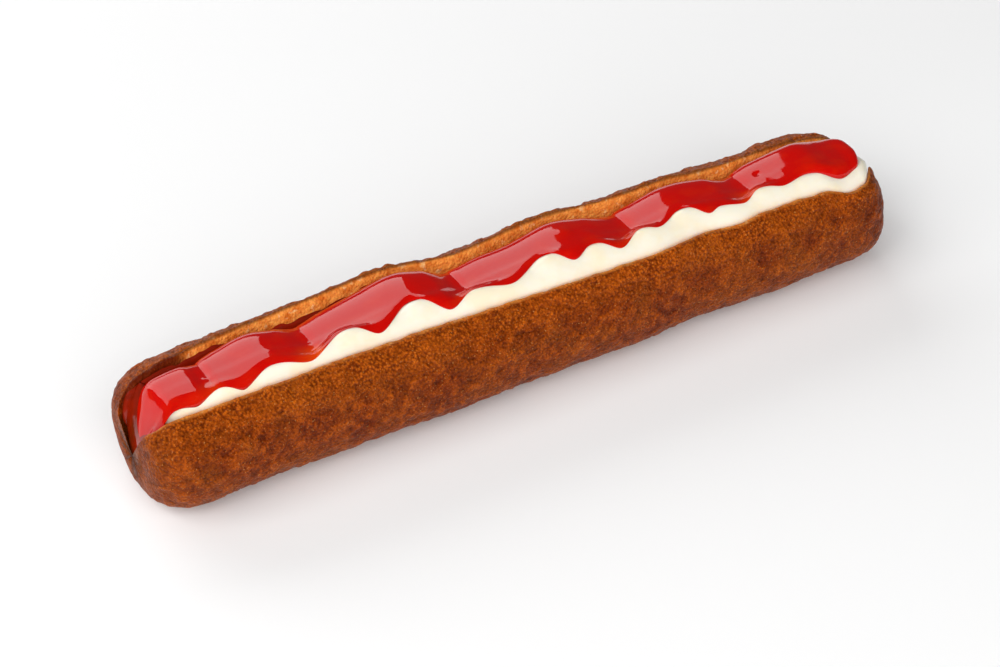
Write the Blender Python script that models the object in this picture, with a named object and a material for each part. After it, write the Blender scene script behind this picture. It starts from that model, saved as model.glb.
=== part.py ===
# Frikandel speciaal: a fried skinless sausage, slit along its top and spread open, with a bead of
# mayonnaise along the near wall of the slit and a lobed strip of red sauce along the far wall.
# X runs along the sausage, Y across it towards the far side and Z up.
# The origin lies under the middle of the sausage, on the surface that it rests on.
import bpy
import numpy as np

MM = 0.001

# The sausage's outer shape
LENGTH = 188 * MM
HALF_WIDTH = 19.0 * MM
WIDEST_AT = 12.8 * MM        # height of its widest line
FLAT_PART = 0.13             # part of the half-width that rests flat
SHOULDER_RISE = 6.5 * MM     # how far the side heads straight up before it turns in to the lip
NEAR_SHOULDER = (15.8 * MM, 24.0 * MM)  # the point that the skin heads for as it leaves the lip
FAR_SHOULDER = (14.7 * MM, 24.1 * MM)

# The slit, between two lips
SLIT_BOTTOM = 6.0 * MM
SLIT_POWER = 0.6             # half-width grows with this power of the height above the bottom
LIP_OUT = 1.0 * MM           # from the lip's top to its outer edge
LIP_OUT_DROP = 0.3 * MM      # from the lip's top down to its outer edge
LIP_IN = 0.8 * MM            # from the lip's top to its inner edge
LIP_DROP = 1.0 * MM          # from the lip's top down to its inner edge
WALL_SPACING = 1.2           # power by which points on the walls crowd towards one end

# The rounded ends
END_REACH = 13.0 * MM        # length over which the skin turns in
END_POWER = 2.5
CUT_REACH = 4.0 * MM         # length over which the slit's walls turn in
CUT_POWER = 2.0
ARM_LEFT = 0.55              # part of each half's spread that is left at the very end
WEB_HEIGHT = 7.4 * MM        # height that both halves sink towards
END_FACE = 0.12 * MM         # how far the rounding is cut short, for a small end face

# Pairs of a place along the sausage and a size there, in millimetres
NEAR_LIP = ((-95, 10.4), (-60, 10.9), (-30, 11.2), (0, 12.1), (12, 12.6), (30, 13.0), (42, 12.0),
            (53, 13.0), (60, 12.2), (76, 12.7), (82.5, 13.9), (95, 13.6))
FAR_LIP = ((-95, 7.6), (-80, 8.8), (-70, 9.9), (-46, 11.2), (-28, 12.2), (-9, 9.9), (12, 11.2),
           (34, 9.9), (44, 10.3), (56, 9.0), (74, 9.3), (95, 7.4))
NEAR_TOP = ((-95, 26.0), (-40, 26.6), (30, 26.4), (76, 26.3), (82.5, 24.6), (95, 24.4))
FAR_TOP = ((-95, 25.2), (-74, 26.0), (-28, 26.9), (-9, 26.4), (12, 26.9), (50, 26.2), (95, 25.0))
NEAR_BULGE = ((-95, 0.2), (-84, 0.4), (-62, -0.5), (-18, 0.7), (-4, -0.1), (19, 0.6), (40, -0.8),
              (60, -0.2), (82, -0.6), (95, -0.4))
FAR_BULGE = ((-95, 0.0), (-28, 0.7), (10, -0.3), (95, 0.0))

# The mayonnaise: a bead with an elliptical top, steeper towards the near lip
BEAD_MIDDLE = -6.3 * MM      # across the sausage
BEAD_FAR = 5.8 * MM          # half-width of its far flank, under the red sauce
BEAD_RISE = 3.0 * MM         # above the near lip's inner edge
BEAD_SWELL = 0.06            # part by which its far flank swells and narrows in turn
SWELL_STEP = 27 * MM         # from one swelling to the next
MAYO_ENDS = (-88.6 * MM, 91.5 * MM)
MAYO_REACH = (8.0 * MM, 4.5 * MM)
MAYO_CLOSE = (0.3, 0.75)     # where its ends close, as parts of the section's width and height

# The red sauce: lobes, fullest at 1 and creased towards 0, that lean on the far wall
LOBES = ((-92.0, 0.3), (-86.0, 0.5), (-76.5, 0.08), (-71.0, 0.42), (-64.0, 0.6), (-57.0, 0.3),
         (-51.0, 0.0), (-45.5, 0.3), (-36.0, 0.6), (-26.0, 0.88), (-20.0, 0.72), (-14.6, 0.25),
         (-6.0, 0.5), (0.5, 0.2), (6.0, 0.5), (14.0, 0.75), (20.5, 0.55), (27.5, 0.2), (32.0, 0.42),
         (46.0, 0.72), (52.0, 0.6), (58.0, 0.02), (65.0, 0.46), (73.5, 0.2), (77.5, 0.35), (88.0, 0.1))
LOBE_HEIGHT = (4.2 * MM, 4.6 * MM)    # above the line between its two edges, in a crease and on a lobe
LOBE_EDGE = (19.6 * MM, 24.4 * MM)    # height of its edge on the far wall, likewise
LOBE_POWER = 2.8
# Its near edge on the bead: the dips where it hangs down and the crests of mayonnaise between them
WAVES = ((-92.0, -7.0), (-88.6, -9.0), (-84.5, -8.5), (-80.6, -9.0), (-74.7, -7.6), (-69.8, -9.3),
         (-62.3, -6.9), (-53.9, -9.0), (-43.9, -4.8), (-37.1, -8.6), (-27.3, -3.1), (-19.7, -9.0),
         (-13.0, -6.3), (-4.5, -8.2), (6.0, -3.4), (11.8, -8.1), (17.5, -5.4), (23.2, -9.4),
         (30.0, -5.8), (33.7, -7.6), (41.3, -4.1), (47.1, -8.7), (50.0, -7.9), (55.8, -9.0),
         (61.5, -6.2), (67.0, -8.0), (73.1, -7.0), (81.9, -10.2), (88.0, -8.8))
SAUCE_ENDS = (-91.0 * MM, 89.4 * MM)
SAUCE_REACH = (6.0 * MM, 4.0 * MM)
SAUCE_CLOSE = (0.6, 0.92)    # where its ends close, as parts of the section's width and height
SAUCE_EVEN = (-82.0 * MM, 81.0 * MM)  # both sauces share their places between these
TOUCH_GAP = 0.3 * MM         # between the two sauces
WALL_GAP = 0.4 * MM          # between a sauce and the wall that it leans on

# Counts of points
SHOULDER_POINTS = 5
UNDER_POINTS = 4
WALL_POINTS = 5
BEAD_POINTS = 8
TAIL_POINTS = 2
UNDERSIDE_POINTS = 6
MOUND_POINTS = 8
SAUSAGE_STATIONS = 35
BEAD_STATIONS = 40
SAUCE_STATIONS = 79
END_STATIONS = 6
SHARP_ANGLE = np.radians(50)  # edges sharper than this aren't shaded smooth


def through(pairs, x):
    """Smooth curve through pairs of place and size in millimetres, level at each high and low."""
    place, size = np.array(pairs, float).T * MM
    step = np.diff(place)
    rise = np.diff(size) / step
    before, after = rise[:-1], rise[1:]
    same = before * after > 0
    slope = np.zeros(len(place))
    slope[1:-1][same] = 2 * before[same] * after[same] / (before[same] + after[same])
    i = np.clip(np.searchsorted(place, x) - 1, 0, len(step) - 1)
    t = np.clip((x - place[i]) / step[i], 0, 1)
    ease = t * t * (3 - 2 * t)
    lift = t * (1 - t) * ((1 - t) * slope[i] - t * slope[i + 1]) * step[i]
    return size[i] + (size[i + 1] - size[i]) * ease + lift


def tuck(gap, reach, power):
    """Quarter superellipse: near 0 at an end face, 1 from the given reach inwards."""
    u = np.clip((gap + END_FACE) / reach, 0, 1)
    return (1 - (1 - u) ** power) ** (1 / power)


def stations(ends, even, count):
    """Places along the sausage: evenly spaced between the two even places, closer towards the ends."""
    turn = np.linspace(0, np.pi / 2, END_STATIONS, endpoint=False)
    head = ends[0] + (even[0] - ends[0]) * (1 - np.cos(turn))
    tail = ends[1] - (ends[1] - even[1]) * (1 - np.cos(turn[::-1]))
    return np.concatenate([head, np.linspace(*even, count), tail])


def slitHalfWidth(z, topHalfWidth, topHeight):
    """The slit's half-width at height z: a power of the height above its bottom."""
    u = np.clip((z - SLIT_BOTTOM) / (topHeight - SLIT_BOTTOM), 0, 1)
    return topHalfWidth * u ** SLIT_POWER


def halfSection(x, lip, top, bulge, shoulder):
    """Skin and wall of one half at places x, from lip to middle, as distances from the middle and heights.

    The skin is a Bezier from the lip to the widest line, a quarter ellipse under it and a narrow flat.
    """
    x = x[:, None]
    lipOut, lipTop = through(lip, x), through(top, x)
    side = HALF_WIDTH + through(bulge, x)
    t = np.linspace(0, 1, SHOULDER_POINTS)
    knots = ((lipOut + LIP_OUT, lipTop - LIP_OUT_DROP), shoulder, (side, WIDEST_AT + SHOULDER_RISE),
             (side, WIDEST_AT))
    weights = ((1 - t) ** 3, 3 * t * (1 - t) ** 2, 3 * t * t * (1 - t), t ** 3)
    shoulderY = sum(w * knot[0] for w, knot in zip(weights, knots))
    shoulderZ = sum(w * knot[1] for w, knot in zip(weights, knots))
    turn = np.linspace(0, np.pi / 2, UNDER_POINTS + 1)[1:]
    underY = side * (FLAT_PART + (1 - FLAT_PART) * np.cos(turn))
    underZ = WIDEST_AT * (1 - np.sin(turn)) + 0 * side
    middle = 0 * side
    skinY = np.hstack([shoulderY, underY, middle])
    skinZ = np.hstack([shoulderZ, underZ, middle])
    skin = np.stack([skinY, skinZ], -1)
    u = np.linspace(0, 1, skin.shape[1])
    wallTop = lipTop - LIP_DROP
    wallZ = wallTop - (wallTop - SLIT_BOTTOM) * u ** WALL_SPACING
    wall = np.stack([slitHalfWidth(wallZ, lipOut - LIP_IN, wallTop), wallZ], -1)
    crest = np.stack([lipOut, lipTop], -1)
    return skin, wall, crest


def drawIn(skin, wall, crest, x, lip, top):
    """Rounds the ends: skin and wall close on a low line inside each half.

    The wall first slides down the cut with the sinking lip and closes only at the very end.
    """
    gap = (LENGTH / 2 - np.abs(x))[:, None, None]
    skinPart = tuck(gap, END_REACH, END_POWER)
    cutPart = tuck(gap, CUT_REACH, CUT_POWER)
    web = np.array([0, WEB_HEIGHT])
    close = web + ARM_LEFT * ((skin + wall) / 2 - web)
    newSkin = close + skinPart * (skin - close)
    height = close[..., 1] + skinPart[..., 0] * (wall[..., 1] - close[..., 1])
    x = x[:, None]
    slidY = slitHalfWidth(height, through(lip, x) - LIP_IN, through(top, x) - LIP_DROP)
    slid = np.stack([slidY, height], -1)
    newWall = close + cutPart * (slid - close)
    height = close[:, :1, 1] + skinPart[..., 0] * (crest[..., 1] - close[:, :1, 1])
    across = newWall[:, :1, 0] + LIP_IN / (LIP_IN + LIP_OUT) * (newSkin[:, :1, 0] - newWall[:, :1, 0])
    return newSkin, newWall, np.stack([across, height], -1)


def wallPoints(x, lip, top, height):
    """Points up one wall of the slit at places x, from its bottom to the given height, clear of it."""
    x = x[:, None]
    wallTop = through(top, x) - LIP_DROP
    u = np.linspace(0, 1, WALL_POINTS + 1)[1:]
    lowest = SLIT_BOTTOM + TOUCH_GAP
    z = lowest + (height[:, None] - lowest) * u ** WALL_SPACING
    y = slitHalfWidth(z, through(lip, x) - LIP_IN, wallTop) - WALL_GAP
    return np.stack([np.maximum(y, TOUCH_GAP), z], -1)


def beadRadii(x):
    """The bead's half-widths at places x: from its middle to the near lip, and to its far edge."""
    near = through(NEAR_LIP, x) - LIP_IN - TOUCH_GAP + BEAD_MIDDLE
    far = BEAD_FAR * (1 + BEAD_SWELL * np.sin(2 * np.pi * x / SWELL_STEP))
    return near[:, None], far[:, None]


def beadArc(x, turn, gap):
    """Points on the bead's top: an ellipse of two unlike halves, turned from its far edge over its top."""
    near, far = beadRadii(x)
    radius = np.where(turn > np.pi / 2, near, far) + gap
    base = (through(NEAR_TOP, x) - LIP_DROP)[:, None]
    return np.stack([BEAD_MIDDLE + radius * np.cos(turn), base + (BEAD_RISE + gap) * np.sin(turn)], -1)


def edgeTurn(x):
    """The turn at which the red sauce's wavy edge lies on the bead."""
    near, far = beadRadii(x)
    across = through(WAVES, x)[:, None] - BEAD_MIDDLE
    return np.arccos(np.clip(across / np.where(across > 0, far, near), -1, 1))


def sharedTail(x, sideways):
    """The face between the sauces, from the bead's far edge down to the bottom of the slit."""
    edge = beadArc(x, np.zeros((len(x), 1)), sideways)
    foot = np.array([sideways, SLIT_BOTTOM + TOUCH_GAP])
    t = np.linspace(0, 1, TAIL_POINTS + 1)[1:, None]
    return edge + (foot - edge) * t


def shrinkEnds(rings, x, ends, reach, close):
    """Rounds a sauce's ends by drawing each section in towards the point where they close."""
    first = tuck(x - ends[0], reach[0], 2)
    last = tuck(ends[1] - x, reach[1], 2)
    part = np.minimum(first, last)[:, None, None]
    lowest, highest = rings.min(1, keepdims=True), rings.max(1, keepdims=True)
    middle = lowest + (highest - lowest) * np.array(close)
    return middle + part * (rings - middle)


def loft(name, rings, x, material):
    """A closed body through closed rings of (y, z) points, one at each place x, clockwise seen from +X."""
    count, size = rings.shape[:2]
    points = np.concatenate([np.broadcast_to(x[:, None, None], (count, size, 1)), rings], -1)
    a = np.arange(size)
    b = (a + 1) % size
    start = (np.arange(count - 1) * size)[:, None]
    sides = np.stack([start + a, start + size + a, start + size + b, start + b], -1).reshape(-1, 4)
    caps = [list(range(size)), list(range(count * size - 1, (count - 1) * size - 1, -1))]
    mesh = bpy.data.meshes.new(name)
    mesh.from_pydata(points.reshape(-1, 3).tolist(), [], sides.tolist() + caps)
    mesh.update()
    mesh.shade_smooth()
    mesh.set_sharp_from_angle(angle=SHARP_ANGLE)
    body = bpy.data.objects.new(name, mesh)
    body.data.materials.append(material)
    return body


def makeMaterial(name, colour, roughness, subsurface):
    material = bpy.data.materials.new(name)
    material.use_nodes = True
    shader = material.node_tree.nodes["Principled BSDF"]
    shader.inputs["Base Color"].default_value = (*colour, 1)
    shader.inputs["Roughness"].default_value = roughness
    shader.inputs["Metallic"].default_value = 0
    shader.inputs["Subsurface Weight"].default_value = subsurface
    return material


def makeSausage():
    """The slit sausage, with a U-shaped section."""
    end = LENGTH / 2
    x = stations((-end, end), (END_REACH - end, end - END_REACH), SAUSAGE_STATIONS)
    near = drawIn(*halfSection(x, NEAR_LIP, NEAR_TOP, NEAR_BULGE, NEAR_SHOULDER), x, NEAR_LIP, NEAR_TOP)
    far = drawIn(*halfSection(x, FAR_LIP, FAR_TOP, FAR_BULGE, FAR_SHOULDER), x, FAR_LIP, FAR_TOP)
    mirror = np.array([-1, 1])
    nearSkin, nearWall, nearCrest = (piece * mirror for piece in near)
    farSkin, farWall, farCrest = far
    rings = np.concatenate([nearWall, farWall[:, -2::-1], farCrest, farSkin, nearSkin[:, -2::-1],
                            nearCrest], 1)
    return loft("frikandel", rings, x, makeMaterial("Fried sausage", (0.23, 0.07, 0.015), 0.5, 0.05))


def makeMayonnaise():
    """Up the near wall, over the bead's top and down the tail beside the red sauce."""
    x = stations(MAYO_ENDS, SAUCE_EVEN, BEAD_STATIONS)
    foot = through(NEAR_TOP, x) - LIP_DROP
    wall = wallPoints(x, NEAR_LIP, NEAR_TOP, foot) * np.array([-1, 1])
    turn = np.linspace(np.pi, 0, BEAD_POINTS + 1)[None, 1:]
    rings = np.concatenate([wall, beadArc(x, turn, 0), sharedTail(x, 0)], 1)
    rings = shrinkEnds(rings, x, MAYO_ENDS, MAYO_REACH, MAYO_CLOSE)
    return loft("mayonnaise", rings, x, makeMaterial("Mayonnaise", (0.86, 0.80, 0.62), 0.3, 0.3))


def makeRedSauce():
    """Up the tail, over the bead to the wavy edge, back over a mound to the far wall and down it."""
    x = stations(SAUCE_ENDS, SAUCE_EVEN, SAUCE_STATIONS)
    full = (through(LOBES, x) / MM)[:, None]
    turn = edgeTurn(x) * np.linspace(0, 1, UNDERSIDE_POINTS)
    under = beadArc(x, turn, TOUCH_GAP)
    edgeHeight = LOBE_EDGE[0] + (LOBE_EDGE[1] - LOBE_EDGE[0]) * full
    wall = wallPoints(x, FAR_LIP, FAR_TOP, edgeHeight[:, 0])[:, ::-1]
    chord = wall[:, 0] - under[:, -1]
    away = np.stack([-chord[:, 1], chord[:, 0]], -1) / np.hypot(chord[:, :1], chord[:, 1:])
    turn = np.linspace(0, np.pi, MOUND_POINTS + 2)[1:-1]
    along = (1 - np.cos(turn)) / 2
    rise = LOBE_HEIGHT[0] + (LOBE_HEIGHT[1] - LOBE_HEIGHT[0]) * full
    height = rise * np.sin(turn) ** (2 / LOBE_POWER)
    mound = under[:, -1:] + chord[:, None] * along[:, None] + away[:, None] * height[..., None]
    rings = np.concatenate([sharedTail(x, TOUCH_GAP)[:, ::-1], under, mound, wall], 1)
    rings = shrinkEnds(rings, x, SAUCE_ENDS, SAUCE_REACH, SAUCE_CLOSE)
    return loft("red_sauce", rings, x, makeMaterial("Red sauce", (0.55, 0.008, 0.004), 0.12, 0.1))


def main():
    for old in list(bpy.data.objects):
        bpy.data.objects.remove(old)
    collection = bpy.data.collections.new("Frikandel speciaal")
    bpy.context.scene.collection.children.link(collection)
    for make in (makeSausage, makeMayonnaise, makeRedSauce):
        collection.objects.link(make())


main()
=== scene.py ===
import bpy
import numpy as np
from mathutils import Matrix, Vector


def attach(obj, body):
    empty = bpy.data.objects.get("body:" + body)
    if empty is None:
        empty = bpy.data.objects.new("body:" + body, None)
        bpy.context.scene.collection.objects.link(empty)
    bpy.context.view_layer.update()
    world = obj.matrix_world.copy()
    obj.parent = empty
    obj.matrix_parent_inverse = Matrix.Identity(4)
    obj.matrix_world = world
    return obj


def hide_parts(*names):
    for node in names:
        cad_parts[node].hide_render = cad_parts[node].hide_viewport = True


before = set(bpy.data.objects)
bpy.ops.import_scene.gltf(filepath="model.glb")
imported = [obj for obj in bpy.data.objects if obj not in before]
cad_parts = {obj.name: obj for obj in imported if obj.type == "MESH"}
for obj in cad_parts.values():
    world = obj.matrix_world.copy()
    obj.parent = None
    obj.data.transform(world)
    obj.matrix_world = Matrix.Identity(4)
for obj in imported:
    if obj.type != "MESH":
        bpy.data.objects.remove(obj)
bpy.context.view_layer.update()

# A slit fried sausage with mayonnaise and red sauce, seen from the left and above.
# Sizes are in millimetres and become metres when a mesh is made.
# X runs along the sausage, Y across it towards the far side and Z up.
millimetre = 0.001


def through(pairs, x):
    # cubic curve through pairs of place and size; its slope at each is the harmonic mean of the slopes
    # on both sides, or 0 at a high, a low or an end
    place, size = np.array(pairs, float).T
    step = np.diff(place)
    rise = np.diff(size) / step
    before, after = rise[:-1], rise[1:]
    same = before * after > 0
    slope = np.zeros(len(place))
    slope[1:-1][same] = 2 * before[same] * after[same] / (before[same] + after[same])
    i = np.clip(np.searchsorted(place, x) - 1, 0, len(step) - 1)
    t = np.clip((x - place[i]) / step[i], 0, 1)
    ease = t * t * (3 - 2 * t)
    lift = t * (1 - t) * ((1 - t) * slope[i] - t * slope[i + 1]) * step[i]
    return size[i] + (size[i + 1] - size[i]) * ease + lift


def easeIn(t):
    # 0 below 0, 1 above 1, and 3t^2 - 2t^3 between
    t = np.clip(t, 0, 1)
    return t * t * (3 - 2 * t)


def quarter(gap, reach, power):
    # quarter superellipse: 0 at an end, 1 from the reach inwards
    u = np.clip(gap / reach, 0, 1)
    return (1 - (1 - u) ** power) ** (1 / power)


def latticeNoise(points, size, seed):
    # smooth noise from -1 to 1: random values on a cubic lattice of the given size, each weighted by the
    # product of the eased distances along the three axes; it repeats after as many cells as the table has
    cells = 32
    table = np.random.default_rng(seed).uniform(-1, 1, (cells, cells, cells))
    place = points / size + 2 * cells
    cell = np.floor(place).astype(int)
    part = easeIn(place - cell)
    total = 0
    for corner in np.ndindex(2, 2, 2):
        weight = np.prod(np.where(corner, part, 1 - part), -1)
        i = (cell + corner) % cells
        total = total + weight * table[i[..., 0], i[..., 1], i[..., 2]]
    return total


def gridNormals(points):
    # unit normals of rings lofted along X: the step along crossed with the step around
    along = np.gradient(points, axis=0)
    around = np.roll(points, -1, 1) - np.roll(points, 1, 1)
    normal = np.cross(along, around)
    return normal / np.maximum(np.linalg.norm(normal, axis=-1, keepdims=True), 1e-9)


def stations(start, stop, count, crowd):
    # places along X that crowd towards both ends: a straight run blended with half a cosine
    t = np.linspace(0, 1, count)
    t = (1 - crowd) * t + crowd * (1 - np.cos(np.pi * t)) / 2
    return start + (stop - start) * t


def withPlace(x, rings):
    # puts each ring's place along in front of its places across and up
    return np.concatenate([np.broadcast_to(x, rings.shape[:2])[..., None], rings], -1)


def makeLoft(name, points, material, attributes={}):
    # closed skin over rings of points (place along, place around, xyz), with a pole at each end
    count, size = points.shape[:2]
    poles = points[[0, -1]].mean(1)
    vertices = np.concatenate([points.reshape(-1, 3), poles]) * millimetre
    a = np.arange(size)
    b = (a + 1) % size
    start = (np.arange(count - 1) * size)[:, None]
    quads = np.stack([start + a, start + size + a, start + size + b, start + b], -1).reshape(-1, 4)
    first, last = count * size, count * size + 1
    end = (count - 1) * size
    fans = np.concatenate([np.stack([a, b, 0 * a + first], -1),
                           np.stack([end + b, end + a, 0 * a + last], -1)])
    mesh = bpy.data.meshes.new(name)
    mesh.from_pydata(vertices.tolist(), [], quads.tolist() + fans.tolist())
    for key, values in attributes.items():
        ends = [values[0].mean(), values[-1].mean()]
        layer = mesh.attributes.new(key, "FLOAT", "POINT")
        layer.data.foreach_set("value", np.concatenate([values.ravel(), ends]).astype(np.float32))
    mesh.shade_smooth()
    mesh.materials.append(material)
    piece = bpy.data.objects.new(name, mesh)
    bpy.context.scene.collection.objects.link(piece)
    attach(piece, "root")
    return piece


def newMaterial(name):
    material = bpy.data.materials.new(name)
    material.use_nodes = True
    nodes, links = material.node_tree.nodes, material.node_tree.links
    return material, nodes, links, nodes["Principled BSDF"]


def addNoise(nodes, links, scale, detail, roughness=0.5, stretch=(1, 1, 1)):
    # noise on the piece's own coordinates; scale is in features a metre
    place = nodes.new("ShaderNodeTexCoord")
    mapping = nodes.new("ShaderNodeMapping")
    mapping.inputs["Scale"].default_value = stretch
    noise = nodes.new("ShaderNodeTexNoise")
    noise.inputs["Scale"].default_value = scale
    noise.inputs["Detail"].default_value = detail
    noise.inputs["Roughness"].default_value = roughness
    links.new(place.outputs["Object"], mapping.inputs["Vector"])
    links.new(mapping.outputs["Vector"], noise.inputs["Vector"])
    return noise.outputs["Fac"]


def addCells(nodes, links, scale):
    # distance to the nearest of points scattered over the piece's own coordinates
    place = nodes.new("ShaderNodeTexCoord")
    cells = nodes.new("ShaderNodeTexVoronoi")
    cells.inputs["Scale"].default_value = scale
    links.new(place.outputs["Object"], cells.inputs["Vector"])
    return cells.outputs["Distance"]


def addRamp(nodes, links, factor, stops):
    # colour ramp with stops of (place, colour)
    ramp = nodes.new("ShaderNodeValToRGB")
    elements = ramp.color_ramp.elements
    while len(elements) < len(stops):
        elements.new(0.5)
    for element, (place, colour) in zip(elements, stops):
        element.position = place
        element.color = (*colour, 1)
    links.new(factor, ramp.inputs["Fac"])
    return ramp.outputs["Color"]


def addMix(nodes, links, factor, first, second, blend="MIX"):
    # mixes two colours; the factor, and each colour, is a number, a colour or a socket
    mix = nodes.new("ShaderNodeMix")
    mix.data_type = "RGBA"
    mix.blend_type = blend
    for socket, value in (("Factor", factor), ("A", first), ("B", second)):
        place = [s for s in mix.inputs if s.name == socket and s.enabled][0]
        if hasattr(value, "links"):
            links.new(value, place)
        elif isinstance(value, tuple):
            place.default_value = (*value, 1)
        else:
            place.default_value = value
    return [s for s in mix.outputs if s.enabled][0]


def addAttribute(nodes, name):
    attribute = nodes.new("ShaderNodeAttribute")
    attribute.attribute_name = name
    return attribute.outputs["Fac"]


def addRange(nodes, links, value, low, high, first=0.0, last=1.0):
    # carries low..high to first..last, held at both ends
    span = nodes.new("ShaderNodeMapRange")
    links.new(value, span.inputs["Value"])
    for name, number in (("From Min", low), ("From Max", high), ("To Min", first), ("To Max", last)):
        span.inputs[name].default_value = number
    return span.outputs["Result"]


def addMath(nodes, links, operation, first, second):
    # one operation on two numbers or sockets
    math = nodes.new("ShaderNodeMath")
    math.operation = operation
    for socket, value in zip(math.inputs, (first, second)):
        if hasattr(value, "links"):
            links.new(value, socket)
        else:
            socket.default_value = value
    return math.outputs[0]


def addBump(nodes, links, height, strength, distance, normal=None):
    # tilts the normal by the slope of a height from 0 to 1; distance is the size of 1 in millimetres
    bump = nodes.new("ShaderNodeBump")
    bump.inputs["Strength"].default_value = strength
    bump.inputs["Distance"].default_value = distance * millimetre
    links.new(height, bump.inputs["Height"])
    if normal:
        links.new(normal, bump.inputs["Normal"])
    return bump.outputs["Normal"]


print("the sausage's skin and cut faces")

sausageForm = {
    "length": 188.0,
    "halfWidth": 19.0,
    "widestAt": 12.8,       # height of its widest line
    "flatPart": 0.13,       # part of the half-width that rests flat
    "shoulderRise": 6.5,
    "slitBottom": 6.0,
    "slitPower": 0.6,       # the slit's half-width grows with this power of the height
    "lipOut": 1.0,          # the lip's top to its outer edge, and that edge's drop
    "lipOutDrop": 0.3,
    "lipIn": 0.8,           # the lip's top to its inner edge, and that edge's drop
    "lipDrop": 1.0,
    "wallSpacing": 1.2,     # above 1, the points of a wall crowd towards its lip
    "farWallSpacing": 1.4,
    "endReach": 13.0,       # an end rounds off over this length
    "endPower": 2.5,
    "cutPower": 2.0,
    "armLeft": 0.55,        # part of each half's spread left at the very end
    "webHeight": 7.4,
    "endFace": 0.12,
    "cutFade": (0.4, 3.0),      # where the cut's colour starts from an end, and the length it grows over
    "rim": (19.5, 5.5),         # height where the skin's paler rim starts, and what it grows over
    "rimRelief": 0.5,           # how much deeper the relief is there
    "calmEnd": (0.5, 1.5),      # part of the relief that shows: distance from an end plus 0.5, over 1.5
    "stations": 370,
    "crowd": 0.35,              # how much the stations crowd towards both ends
    "nearSkin": 120,            # points round the section
    "farSkin": 76,
    "nearWall": 14,
    "farWall": 40,
    "lipPoints": 8,
}
# Each half: pairs of a place along the sausage and the lip's distance from the middle, its height,
# and what the side bulges
nearHalf = {
    "shoulder": (15.8, 24.0),
    "lip": ((-95, 10.4), (-60, 10.9), (-30, 11.2), (0, 12.1), (12, 12.6), (30, 13.0), (42, 12.0),
            (53, 13.0), (60, 12.2), (76, 12.7), (82.5, 13.9), (87, 13.1), (95, 6.4)),
    "top": ((-95, 26.0), (-40, 26.6), (30, 26.4), (76, 26.3), (82.5, 24.6), (87, 25.0), (95, 26.7)),
    "bulge": ((-95, 0.2), (-84, 0.4), (-62, -0.5), (-18, 0.7), (-4, -0.1), (19, 0.6), (40, -0.8),
              (60, -0.2), (82, -0.6), (95, -0.4)),
    "cutReach": (4.0, 7.0),     # over this length the wall turns in, left and right
}
farHalf = {
    "shoulder": (14.7, 24.1),
    "lip": ((-95, 7.6), (-80, 8.8), (-70, 9.9), (-46, 11.2), (-28, 12.2), (-9, 9.9), (12, 11.2),
            (34, 9.9), (44, 10.3), (56, 9.0), (74, 9.3), (95, 7.4)),
    "top": ((-95, 25.2), (-74, 26.0), (-28, 26.9), (-9, 26.4), (12, 26.9), (50, 26.2), (95, 25.0)),
    "bulge": ((-95, 0.0), (-28, 0.7), (10, -0.3), (95, 0.0)),
    "cutReach": (4.0, 4.0),
    "bareCut": (-80.5, -74.5),  # its cut face is fried brown up to the first and bare from the second
}


def slitHalfWidth(z, topHalfWidth, topHeight):
    # a power of the height above the slit's bottom
    bottom = sausageForm["slitBottom"]
    u = np.clip((z - bottom) / (topHeight - bottom), 0, 1)
    return topHalfWidth * u ** sausageForm["slitPower"]


def innerLip(x, half):
    # distance from the middle, and height, of the lip's inner edge
    form = sausageForm
    return through(half["lip"], x) - form["lipIn"], through(half["top"], x) - form["lipDrop"]


def skinAt(x, half, u):
    # u from 0 at the lip to 1 in the middle underneath: a Bezier down to the widest line at 4/9,
    # a quarter ellipse to the flat's edge at 8/9, then the flat
    form = sausageForm
    lip, top = through(half["lip"], x), through(half["top"], x)
    side = form["halfWidth"] + through(half["bulge"], x)
    t = np.clip(u * 9 / 4, 0, 1)
    knots = ((lip + form["lipOut"], top - form["lipOutDrop"]), half["shoulder"],
             (side, form["widestAt"] + form["shoulderRise"]), (side, form["widestAt"]))
    weights = ((1 - t) ** 3, 3 * t * (1 - t) ** 2, 3 * t * t * (1 - t), t ** 3)
    y = sum(w * knot[0] for w, knot in zip(weights, knots))
    z = sum(w * knot[1] for w, knot in zip(weights, knots))
    turn = np.clip(u * 9 / 4 - 1, 0, 1) * np.pi / 2
    flat = form["flatPart"]
    underY = side * (flat + (1 - flat) * np.cos(turn)) * np.clip((1 - u) * 9, 0, 1)
    underZ = form["widestAt"] * (1 - np.sin(turn))
    under = u > 4 / 9
    return np.stack([np.where(under, underY, y), np.where(under, underZ, z)], -1)


def wallAt(x, half, u):
    # u from 0 at the lip's inner edge to 1 at the slit's bottom
    form = sausageForm
    lip, top = innerLip(x, half)
    z = top - (top - form["slitBottom"]) * u ** form["wallSpacing"]
    return np.stack([slitHalfWidth(z, lip, top), z], -1)


def roundedHalf(x, half, u):
    # skin and wall with the ends drawn in: both close on a low line inside the half, and the wall first
    # slides down the cut with the sinking lip
    form = sausageForm
    gap = (form["length"] / 2 - np.abs(x))[..., None] + form["endFace"]
    skinPart = quarter(gap, form["endReach"], form["endPower"])
    cutPart = quarter(gap, np.where(x < 0, *half["cutReach"])[..., None], form["cutPower"])
    skin, wall = skinAt(x, half, u), wallAt(x, half, u)
    web = np.array([0, form["webHeight"]])
    close = web + form["armLeft"] * ((skin + wall) / 2 - web)
    height = close[..., 1] + skinPart[..., 0] * (wall[..., 1] - close[..., 1])
    slid = np.stack([slitHalfWidth(height, *innerLip(x, half)), height], -1)
    return close + skinPart * (skin - close), close + cutPart * (slid - close), close, skinPart[..., 0]


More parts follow.
